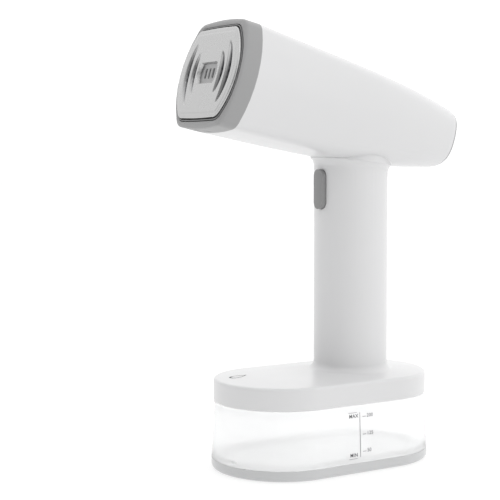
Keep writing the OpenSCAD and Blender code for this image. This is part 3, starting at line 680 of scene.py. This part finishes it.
@dataclass(frozen=True)
class BarrelOutline:
    """A barrel-shaped outline: bulging sides, round corners and a nearly flat crown."""

    half_h: float
    half_w: float
    side_r: float
    crown_r: float
    corner_r: float

    def half_width(self, z: float) -> float:
        """Half the width at a height above the middle, in millimetres."""
        z = min(abs(z), self.half_h)
        side = self.half_w - self.side_r
        reach_a, reach_b = self.side_r - self.corner_r, self.crown_r - self.corner_r
        crown = self.half_h - self.crown_r
        d = math.hypot(side, crown)
        u = (-side / d, crown / d)
        along = (reach_a**2 - reach_b**2 + d * d) / (2.0 * d)
        off = math.sqrt(max(reach_a**2 - along**2, 0.0))
        corner = (side + u[0] * along - off * u[1], u[1] * along + off * u[0])
        if z <= corner[1] + self.corner_r * (corner[1] / reach_a):
            return side + math.sqrt(max(self.side_r**2 - z * z, 0.0))
        return corner[0] + math.sqrt(max(self.corner_r**2 - (z - corner[1]) ** 2, 0.0))


def ramp(value: float, low: float, high: float) -> float:
    """A smooth rise from 0 at low to 1 at high."""
    t = min(max((value - low) / (high - low), 0.0), 1.0)
    return t * t * (3.0 - 2.0 * t)


# --------------------------------------------------------------------------- added pieces


@dataclass(frozen=True)
class Crescent:
    """A crescent groove of the steam plate, deepest at mid height."""

    middle: float
    bend_r: float
    reach: float
    half_width: float
    depth: float

    def depth_at(self, x: float, z: float) -> float:
        """How far the groove goes in at a place, in millimetres."""
        run = 1.0 - (z / self.reach) ** 2
        if run <= 0.0:
            return 0.0
        centre = self.middle - z * z / (2.0 * self.bend_r)
        width = self.half_width * (0.35 + 0.65 * run)
        off = (abs(x) - centre) / width
        if abs(off) >= 1.0:
            return 0.0
        bowl = 0.5 + 0.5 * math.cos(math.pi * (off + 0.25 * (1.0 - off * off)))
        return self.depth * run**0.8 * bowl


@dataclass
class SteamPlate:
    """The steam plate's sculpted face: edge bevel, pocket, slots, crescents and steam holes, with a
    painted shade mask for its hollows.
    """

    paints: Paints
    head: HeadFrame = field(default_factory=HeadFrame)
    outline: BarrelOutline = field(
        default_factory=lambda: BarrelOutline(24.85, 28.4, 34.9, 480.0, 6.5)
    )
    grooves: tuple[Crescent, ...] = (
        Crescent(13.9, 26.0, 11.5, 2.6, 2.3),
        Crescent(20.6, 34.0, 17.0, 2.9, 2.3),
    )
    pocket: tuple[float, float] = (7.9, 5.5)
    pocket_bulge: float = 1.4
    pocket_depth: float = 1.7
    slots: tuple[float, ...] = (-3.8, 0.0, 3.8)
    slot_size: tuple[float, float] = (0.7, 2.6)
    holes: tuple[tuple[float, float], ...] = (
        (13.4, 1.8),
        (13.4, -1.8),
        (20.2, 3.4),
        (20.2, -3.4),
        (20.2, 0.0),
    )
    hole_r: float = 0.95
    hole_depth: float = 1.6
    bevel: float = 1.7
    bevel_drop: float = 0.95
    rim_line: float = 0.16
    rim_outer: tuple[float, float] = (0.4, 1.2)
    rim_inner: tuple[float, float] = (2.6, 3.3)
    end_bow: float = 0.35
    # depth spans over which the painted shade of the grooves and of the pocket rises, and the pocket's
    # share of it
    groove_shade_span: tuple[float, float] = (0.15, 1.5)
    pocket_shade_span: tuple[float, float] = (0.7, 3.0)
    pocket_shade_share: float = 0.9
    thick: float = 3.5
    columns: int = 170
    rows: int = 150

    def face_depth(self, x: float, z: float, edge: float) -> float:
        """How far behind the plate's foremost plane its face lies, in millimetres.

        Args:
            x: distance across from the middle.
            z: height above the middle.
            edge: distance in from the plate's edge.

        Returns:
            The depth.
        """
        t = min(max(1.0 - edge / self.bevel, 0.0), 1.0)
        depth = self.bevel_drop * (1.0 - math.sqrt(max(1.0 - t * t, 0.0)))
        depth += self.rim_line * (1.0 - ramp(edge, *self.rim_inner)) * ramp(edge, *self.rim_outer)
        return depth + self.hollow_depth(x, z)

    def painted_shade_at(self, x: float, z: float) -> float:
        """How much painted shade the face gets at a place, from 0 on its lands to 1 down in the grooves.
        """
        grooves = sum(g.depth_at(x, z) for g in self.grooves)
        others = self.hollow_depth(x, z) - grooves
        pocket = self.pocket_shade_share * ramp(others, *self.pocket_shade_span)
        return min(ramp(grooves, *self.groove_shade_span) + pocket, 1.0)

    def hollow_depth(self, x: float, z: float) -> float:
        """How deep the pocket, slots, crescents and holes are at a place, in millimetres."""
        depth = sum(g.depth_at(x, z) for g in self.grooves)
        side = self.pocket[0] + self.pocket_bulge * (1.0 - (z / self.pocket[1]) ** 2)
        inside = min(side - abs(x), self.pocket[1] - abs(z))
        depth += self.pocket_depth * ramp(inside, -0.35, 0.45)
        for centre in self.slots:
            room = min(self.slot_size[0] - abs(x - centre), self.slot_size[1] - abs(z))
            depth += self.hole_depth * ramp(room, -0.2, 0.35)
        for hx, hz in self.holes:
            gap = self.hole_r - math.hypot(abs(x) - hx, z - hz)
            depth += self.hole_depth * ramp(gap, -0.25, 0.35)
        return depth

    @staticmethod
    def spread(count: int) -> list[float]:
        """Grid lines from -1 to 1 that crowd together at both ends."""
        even = [2.0 * i / count - 1.0 for i in range(count + 1)]
        return [v + 0.055 * math.sin(math.pi * v) * abs(v) for v in even]

    def build(self) -> bpy.types.Object:
        """Makes the plate and lets it stand for its CAD node."""
        us, vs = self.spread(self.columns), self.spread(self.rows)
        verts: list[tuple[float, float, float]] = []
        hollow: list[float] = []
        for v in vs:
            for u in us:
                z = v * (self.outline.half_h - self.end_bow * u * u)
                wide = self.outline.half_width(z)
                x = u * wide
                edge = min((1.0 - abs(u)) * wide, (1.0 - abs(v)) * self.outline.half_h)
                verts.append(self.head.point(x, self.face_depth(x, z, edge), z))
                hollow.append(self.painted_shade_at(x, z))
        across = self.columns + 1
        faces = [
            (r * across + c, r * across + c + 1, (r + 1) * across + c + 1, (r + 1) * across + c)
            for r in range(self.rows)
            for c in range(self.columns)
        ]
        rim = [c for c in range(across)]
        rim += [r * across + self.columns for r in range(1, self.rows + 1)]
        rim += [self.rows * across + c for c in range(self.columns - 1, -1, -1)]
        rim += [r * across for r in range(self.rows - 1, 0, -1)]
        back = len(verts)
        for k in rim:
            r, c = divmod(k, across)
            z = vs[r] * (self.outline.half_h - self.end_bow * us[c] ** 2)
            verts.append(self.head.point(us[c] * self.outline.half_width(z), self.thick, z))
            # the plate's side walls get full painted shade, for the dark gap round the plate
            hollow.append(1.0)
        for i in range(len(rim)):
            j = (i + 1) % len(rim)
            faces.append((rim[j], rim[i], back + i, back + j))
        faces.append(tuple(back + i for i in range(len(rim) - 1, -1, -1)))
        plate = make_object("steam_plate", verts, faces)
        hollow_shade = plate.data.attributes.new("hollow", "FLOAT", "POINT")
        hollow_shade.data.foreach_set("value", hollow)
        CornerNormals(50.0).apply(plate)
        self.paints.coat(plate, Finish.PLATE)
        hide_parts("soleplate")
        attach(plate, "steamer")
        return plate


class Surface:
    """The outer surface of some CAD nodes, to lay thin pieces on."""

    def __init__(self, *names: str) -> None:
        """Gathers the nodes' faces."""
        verts: list[Vector] = []
        faces: list[tuple[int, ...]] = []
        for name in names:
            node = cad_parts[name]
            start = len(verts)
            verts += [node.matrix_world @ v.co for v in node.data.vertices]
            faces += [tuple(start + k for k in p.vertices) for p in node.data.polygons]
        self.tree = BVHTree.FromPolygons(verts, faces)

    def hit(self, start: Sequence[float], way: Sequence[float]) -> Vector:
        """The first place met from a start in a direction, or the start itself."""
        place = self.tree.ray_cast(Vector(start), Vector(way).normalized())[0]
        return Vector(start) if place is None else place


@dataclass
class SoftFillet:
    """A moulded fillet round the handle, from its side out onto a shell.

    Its sizes are in millimetres. side is 1 for a shell above the fillet and -1 for one under it,
    start_z is the height that the shell is sought from, and centre_y and radius are the handle's.
    """

    paints: Paints
    name: str
    shell: str
    side: float
    start_z: float
    reach: float
    height: float
    centre_y: float = 20.3
    radius: float = 20.6
    around: int = 120
    steps: int = 10

    def build(self) -> bpy.types.Object:
        """Makes the fillet."""
        surface = Surface(self.shell)
        verts: list[Vector] = []
        for i in range(self.around):
            a = 2.0 * math.pi * i / self.around
            way = Vector((math.cos(a), math.sin(a), 0.0))
            axis = Vector((0.0, self.centre_y, self.start_z))
            far = (axis + way * (self.radius + self.reach)) * MM
            top = surface.hit(far, (0.0, 0.0, self.side)).z / MM
            for k in range(self.steps + 1):
                t = math.pi / 2.0 * k / self.steps
                r = self.radius + 0.02 + self.reach * (1.0 - math.cos(t))
                z = top - self.side * (self.height * (1.0 - math.sin(t)) - 0.06)
                place = axis + way * r
                verts.append(Vector((place.x, place.y, z)) * MM)
        row = self.steps + 1
        faces = [
            (i * row + k, j * row + k, j * row + k + 1, i * row + k + 1)
            for i in range(self.around)
            for j in [(i + 1) % self.around]
            for k in range(self.steps)
        ]
        piece = make_object(self.name, verts, faces)
        self.paints.coat(piece, Finish.WHITE_SHELL)
        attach(piece, "steamer")
        LOG.info("moulded %s", piece.name)
        return piece


@dataclass
class RearSeam:
    """A painted shadow line in the joint round the barrel's rear edge; its sizes are in millimetres."""

    paints: Paints
    head: HeadFrame = field(default_factory=HeadFrame)
    depth: float = 156.2
    half_width: float = 0.36
    lift: float = 0.04
    around: int = 144

    def build(self) -> bpy.types.Object:
        """Makes the shadow line as a narrow closed strip."""
        surface = Surface("barrel_shell", "rear_cap")
        verts: list[Vector] = []
        for i in range(self.around):
            a = 2.0 * math.pi * i / self.around
            for side in (-1.0, 1.0):
                y = self.depth + side * self.half_width
                inner = Vector(self.head.point(0.0, y, 0.0))
                outer = Vector(self.head.point(70.0 * math.cos(a), y, 70.0 * math.sin(a)))
                met = surface.hit(outer, inner - outer)
                verts.append(met + (outer - inner).normalized() * self.lift * MM)
        count = 2 * self.around
        faces = [(i, i + 1, (i + 3) % count, (i + 2) % count) for i in range(0, count, 2)]
        piece = make_object("rear_seam", verts, faces)
        self.paints.coat(piece, Finish.SEAM_SHADOW)
        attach(piece, "steamer")
        return piece


@dataclass
class DropMark:
    """A small generic drop printed on the cover's top, to show the water inlet."""

    paints: Paints
    centre: tuple[float, float] = (-9.0, -49.0)
    size: tuple[float, float] = (4.0, 5.4)
    line: float = 0.85
    lift: float = 0.05
    around: int = 40

    def outline(self, inset: float) -> list[tuple[float, float]]:
        """The drop's outline, its tip towards the handle."""
        w, h = self.size[0] - inset, self.size[1] - inset * 1.4
        turns = [2.0 * math.pi * i / self.around for i in range(self.around)]
        return [(w * math.sin(t) * math.sin(t / 2.0), h * math.cos(t)) for t in turns]

    def build(self) -> bpy.types.Object:
        """Makes the drop's line."""
        surface = Surface("tank_cover")
        verts: list[Vector] = []
        for inset in (0.0, self.line):
            for x, y in self.outline(inset):
                start = Vector((self.centre[0] + x, self.centre[1] + y, 70.0)) * MM
                met = surface.hit(start, (0.0, 0.0, -1.0))
                verts.append(met + Vector((0.0, 0.0, self.lift * MM)))
        n = self.around
        faces = [(i, (i + 1) % n, n + (i + 1) % n, n + i) for i in range(n)]
        piece = make_object("drop_mark", verts, faces, False)
        self.paints.coat(piece, Finish.INK_DARK)
        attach(piece, "steamer")
        return piece


@dataclass
class WaterScale:
    """The printed water scale on the tank's +X side."""

    paints: Paints
    line_y: float = -1.1
    line_z: tuple[float, float] = (9.1, 33.0)
    line_w: float = 0.42
    ticks: tuple[tuple[float, str], ...] = ((30.6, "200"), (21.1, "125"), (11.9, "50"))
    tick_y: tuple[float, float] = (0.6, 2.9)
    digit_y: float = 3.5
    digit_h: float = 1.9
    word_h: float = 1.9
    word_y: tuple[float, float] = (-8.7, -3.0)
    tick_half: float = 0.17
    digit_drop: float = 0.5
    max_place: tuple[float, float] = (0.4, 30.4)
    min_place: tuple[float, float] = (0.7, 9.6)
    limit_bars: tuple[tuple[float, float], ...] = ((33.0, 33.3), (8.4, 8.7))
    lift: float = 0.09

    def wall_x(self, z: float) -> float:
        """Distance of the tank's outer wall from the middle at a height, in millimetres."""
        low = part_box("base_tray")[1]
        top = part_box("tank_cover")
        t = (z - low.z / MM) / ((top[0].z - low.z) / MM)
        return low.x / MM + (top[1].x - low.x) / MM * t

    def place(self, y: float, z: float) -> tuple[float, float, float]:
        """A place on the wall, a hair outside it."""
        return ((self.wall_x(z) + self.lift) * MM, y * MM, z * MM)

    def bar(self, y0: float, y1: float, z0: float, z1: float) -> list[tuple[float, float, float]]:
        """The four corners of a printed bar."""
        return [self.place(y0, z0), self.place(y1, z0), self.place(y1, z1), self.place(y0, z1)]

    def bars(self, name: str, corners: list[list[tuple[float, float, float]]], finish: Finish) -> None:
        """Makes one piece out of several printed bars."""
        verts = [v for quad in corners for v in quad]
        faces = [tuple(range(4 * i, 4 * i + 4)) for i in range(len(corners))]
        self.finish_piece(make_object(name, verts, faces, False), finish)

    def words(self, name: str, text: str, y: float, z: float, height: float, finish: Finish) -> None:
        """Prints a short word or number on the wall, its lower left corner at y, z."""
        curve = bpy.data.curves.new(name + "_type", "FONT")
        curve.body = text
        curve.size = height / 0.7
        curve.space_character = 1.08
        curve.offset = 0.05
        source = bpy.data.objects.new(name + "_type", curve)
        bpy.context.scene.collection.objects.link(source)
        bpy.context.view_layer.update()
        flat = source.to_mesh()
        verts = [self.place(y + v.co.x, z + v.co.y) for v in flat.vertices]
        faces = [tuple(p.vertices) for p in flat.polygons]
        source.to_mesh_clear()
        bpy.data.objects.remove(source)
        self.finish_piece(make_object(name, verts, faces, False), finish)

    def finish_piece(self, piece: bpy.types.Object, finish: Finish) -> None:
        """Paints one printed piece and lets it ride on the tank."""
        self.paints.coat(piece, finish)
        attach(piece, "tank_base")
        LOG.info("printed %s", piece.name)

    def build(self) -> None:
        """Makes the whole scale."""
        half = self.line_w / 2.0
        bars = [self.bar(self.line_y - half, self.line_y + half, *self.line_z)]
        bars += [self.bar(*self.tick_y, z - self.tick_half, z + self.tick_half) for z, _ in self.ticks]
        self.bars("scale_lines", bars, Finish.INK_GREY)
        for z, text in self.ticks:
            low = z - self.digit_drop
            self.words(f"scale_{text}", text, self.digit_y, low, self.digit_h, Finish.INK_GREY)
        y0, y1 = self.word_y
        for name, text, (inset, z) in (
            ("scale_max", "MAX", self.max_place),
            ("scale_min", "MIN", self.min_place),
        ):
            self.words(name, text, y0 + inset, z, self.word_h, Finish.INK_DARK)
        limits = [self.bar(y0, y1, *heights) for heights in self.limit_bars]
        self.bars("scale_limits", limits, Finish.INK_GREY)


# --------------------------------------------------------------------------- sub-assemblies


@dataclass
class SubAssembly:
    """A group of CAD nodes with one finish each."""

    paints: Paints
    title: str
    finishes: dict[str, Finish]
    crease_deg: float = 38.0
    outside: tuple[str, ...] = (
        "base_tray",
        "foot_pads",
        "tank",
        "tank_cover",
        "handle_shell",
        "barrel_shell",
        "rear_cap",
        "bezel",
        "trim_ring",
        "trigger",
        "cord_gland",
    )

    def build(self) -> None:
        """Paints every node of the group and smooths the outside ones."""
        normals = CornerNormals(self.crease_deg)
        for name, finish in self.finishes.items():
            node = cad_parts[name]
            if name in self.outside:
                normals.apply(node)
            self.paints.coat(node, finish)
            LOG.info("%s: %s wears %s", self.title, name, finish.name.lower())


class TankBase(SubAssembly):
    """Tray, foot pads and clear tank."""

    def __init__(self, paints: Paints) -> None:
        """Names the nodes and their finishes."""
        super().__init__(
            paints,
            "tank base",
            {"base_tray": Finish.LIGHT_TRAY, "foot_pads": Finish.PAD_RUBBER, "tank": Finish.CLEAR},
            30.0,
        )


class Cover(SubAssembly):
    """White cover with the plate, seal, screws and suction parts under it."""

    def __init__(self, paints: Paints) -> None:
        """Names the nodes and their finishes."""
        super().__init__(
            paints,
            "cover",
            {
                "tank_cover": Finish.WHITE_SHELL,
                "cover_plate": Finish.PLAIN,
                "tank_seal": Finish.SEAL_RUBBER,
                "cover_screws": Finish.STEEL,
                "suction_tube": Finish.CLEAR_TUBE,
                "suction_filter": Finish.CLEAR_TUBE,
            },
            42.0,
        )


class Shells(SubAssembly):
    """Handle, barrel and rear cap."""

    def __init__(self, paints: Paints) -> None:
        """Names the nodes and their finishes."""
        super().__init__(
            paints,
            "shells",
            {
                "handle_shell": Finish.WHITE_SHELL,
                "barrel_shell": Finish.WHITE_SHELL,
                "rear_cap": Finish.WHITE_SHELL,
                "cord_gland": Finish.PAD_RUBBER,
                "cord_clamp": Finish.STEEL,
            },
            40.0,
        )


class SteamHead(SubAssembly):
    """Bezel and everything hot behind it."""

    def __init__(self, paints: Paints) -> None:
        """Names the nodes and their finishes."""
        super().__init__(
            paints,
            "steam head",
            {
                "bezel": Finish.GREY_BEZEL,
                "soleplate": Finish.PLATE,
                "trim_ring": Finish.TRIM,
                "insulator": Finish.BLACK,
                "heat_shield": Finish.STEEL,
                "steam_chamber": Finish.CAST,
                "heating_element": Finish.STEEL,
                "element_clamp": Finish.STEEL,
                "chamber_screws": Finish.STEEL,
                "thermostat": Finish.CERAMIC,
                "thermal_fuse": Finish.CERAMIC,
            },
        )


class Pump(SubAssembly):
    """Pump, its coil, plunger, spring and hoses."""

    def __init__(self, paints: Paints) -> None:
        """Names the nodes and their finishes."""
        super().__init__(
            paints,
            "pump",
            {
                "pump_body": Finish.BLACK,
                "pump_coil": Finish.COPPER,
                "pump_plunger": Finish.STEEL,
                "pump_spring": Finish.STEEL,
                "suction_hose": Finish.SEAL_RUBBER,
                "outlet_hose": Finish.SEAL_RUBBER,
            },
        )


class Controls(SubAssembly):
    """Trigger, switch and electronics."""

    def __init__(self, paints: Paints) -> None:
        """Names the nodes and their finishes."""
        super().__init__(
            paints,
            "controls",
            {
                "trigger": Finish.GREY_TRIGGER,
                "trigger_spring": Finish.STEEL,
                "switch_bracket": Finish.PLAIN,
                "microswitch": Finish.BLACK,
                "switch_lever": Finish.STEEL,
                "board_carrier": Finish.PLAIN,
                "circuit_board": Finish.BOARD,
                "relay": Finish.RELAY,
                "terminal_block": Finish.PLAIN,
                "wiring": Finish.WIRE,
            },
        )


# --------------------------------------------------------------------------- studio


@dataclass(frozen=True)
class SoftLight:
    """One square soft light aimed at the steamer."""

    name: str
    place: tuple[float, float, float]
    size: float
    power: float
    aim: tuple[float, float, float] = (0.0, -0.02, 0.13)

    def build(self) -> None:
        """Adds the light."""
        data = bpy.data.lights.new(self.name, "AREA")
        data.shape = "SQUARE"
        data.size = self.size
        data.energy = self.power
        obj = bpy.data.objects.new(self.name, data)
        obj.location = self.place
        turn = (Vector(self.aim) - Vector(self.place)).to_track_quat("-Z", "Y")
        obj.rotation_euler = turn.to_euler()
        bpy.context.scene.collection.objects.link(obj)


@dataclass
class Studio:
    """Floor, sky, lights and camera."""

    paints: Paints
    sky: float = 0.92
    sky_slope: float = 0.42
    bright_side: tuple[float, float, float] = (-0.3, 0.6, 0.75)
    dark_side: tuple[float, float, float] = (0.35, -1.0, -0.1)
    flag: float = 0.7
    flag_edge: tuple[float, float] = (0.72, 0.22)
    ground_edge: tuple[float, float] = (0.05, 0.05)
    ground_dimming: float = 0.6
    floor_r: float = 6.0
    lights: tuple[SoftLight, ...] = (
        SoftLight("key", (0.9, -1.0, 1.5), 1.0, 2.0),
        SoftLight("side", (1.6, 0.9, 0.7), 1.0, 1.5),
    )

    def build_world(self) -> None:
        """Sets a bright sky with a dim patch for the steam plate to reflect, dimmer underneath."""
        sky = Sky("studio_sky")
        slope = sky.towards(*self.bright_side) * self.sky_slope + self.sky
        flag = sky.towards(*self.dark_side).above(*self.flag_edge)
        under = sky.towards(0.0, 0.0, -1.0).above(*self.ground_edge)
        open_sky = slope * (1.0 - flag * self.flag)
        bpy.context.scene.world = sky.light(open_sky * (1.0 - under * self.ground_dimming))
        bpy.context.scene.view_settings.view_transform = "Standard"

    def build_floor(self) -> None:
        """Makes a wide round floor just under the feet."""
        count = 96
        verts = [(0.0, 0.0, 0.0)]
        for i in range(count):
            a = 2.0 * math.pi * i / count
            verts.append((self.floor_r * math.cos(a), self.floor_r * math.sin(a), 0.0))
        faces = [(0, i + 1, (i + 1) % count + 1) for i in range(count)]
        floor = make_object("studio_floor", verts, faces, False)
        floor.location.z = -0.0002
        self.paints.coat(floor, Finish.FLOOR)

    def build_camera(self) -> None:
        """Places the camera at three quarters from the front, almost level."""
        azimuth, elevation = math.radians(57.98), math.radians(2.29)
        aim = Vector((0.0, -0.0608, 0.145))
        back = Vector(
            (
                math.sin(azimuth) * math.cos(elevation),
                -math.cos(azimuth) * math.cos(elevation),
                math.sin(elevation),
            )
        )
        data = bpy.data.cameras.new("camera")
        data.lens = 92.97
        data.sensor_width = 36.0
        data.shift_x = 0.0426
        data.shift_y = -0.0938
        data.dof.use_dof = False
        data.clip_start = 0.01
        camera = bpy.data.objects.new("camera", data)
        right = Vector((math.cos(azimuth), math.sin(azimuth), 0.0))
        up = back.cross(right)
        turn = Matrix((right, up, back)).transposed()
        camera.matrix_world = Matrix.Translation(aim + back * 0.6856) @ turn.to_4x4()
        bpy.context.scene.collection.objects.link(camera)
        bpy.context.scene.camera = camera

    def build(self) -> None:
        """Builds the whole studio."""
        self.build_world()
        self.build_floor()
        for light in self.lights:
            light.build()
        self.build_camera()
        LOG.info("studio ready")


# --------------------------------------------------------------------------- main


def main() -> None:
    """Builds every sub-assembly in order, then the studio."""
    logging.basicConfig(level=logging.INFO, format="%(name)s: %(message)s")
    paints = Paints()
    builders: list[Callable[[], object]] = [
        TankBase(paints).build,
        Cover(paints).build,
        Shells(paints).build,
        SteamHead(paints).build,
        Pump(paints).build,
        Controls(paints).build,
        SteamPlate(paints).build,
        WaterScale(paints).build,
        SoftFillet(paints, "neck_fillet", "barrel_shell", 1.0, 120.0, 3.3, 7.5).build,
        SoftFillet(paints, "foot_fillet", "tank_cover", -1.0, 90.0, 4.2, 4.2).build,
        RearSeam(paints).build,
        DropMark(paints).build,
        Studio(paints).build,
    ]
    for build in builders:
        build()


if __name__ == "__main__":
    main()
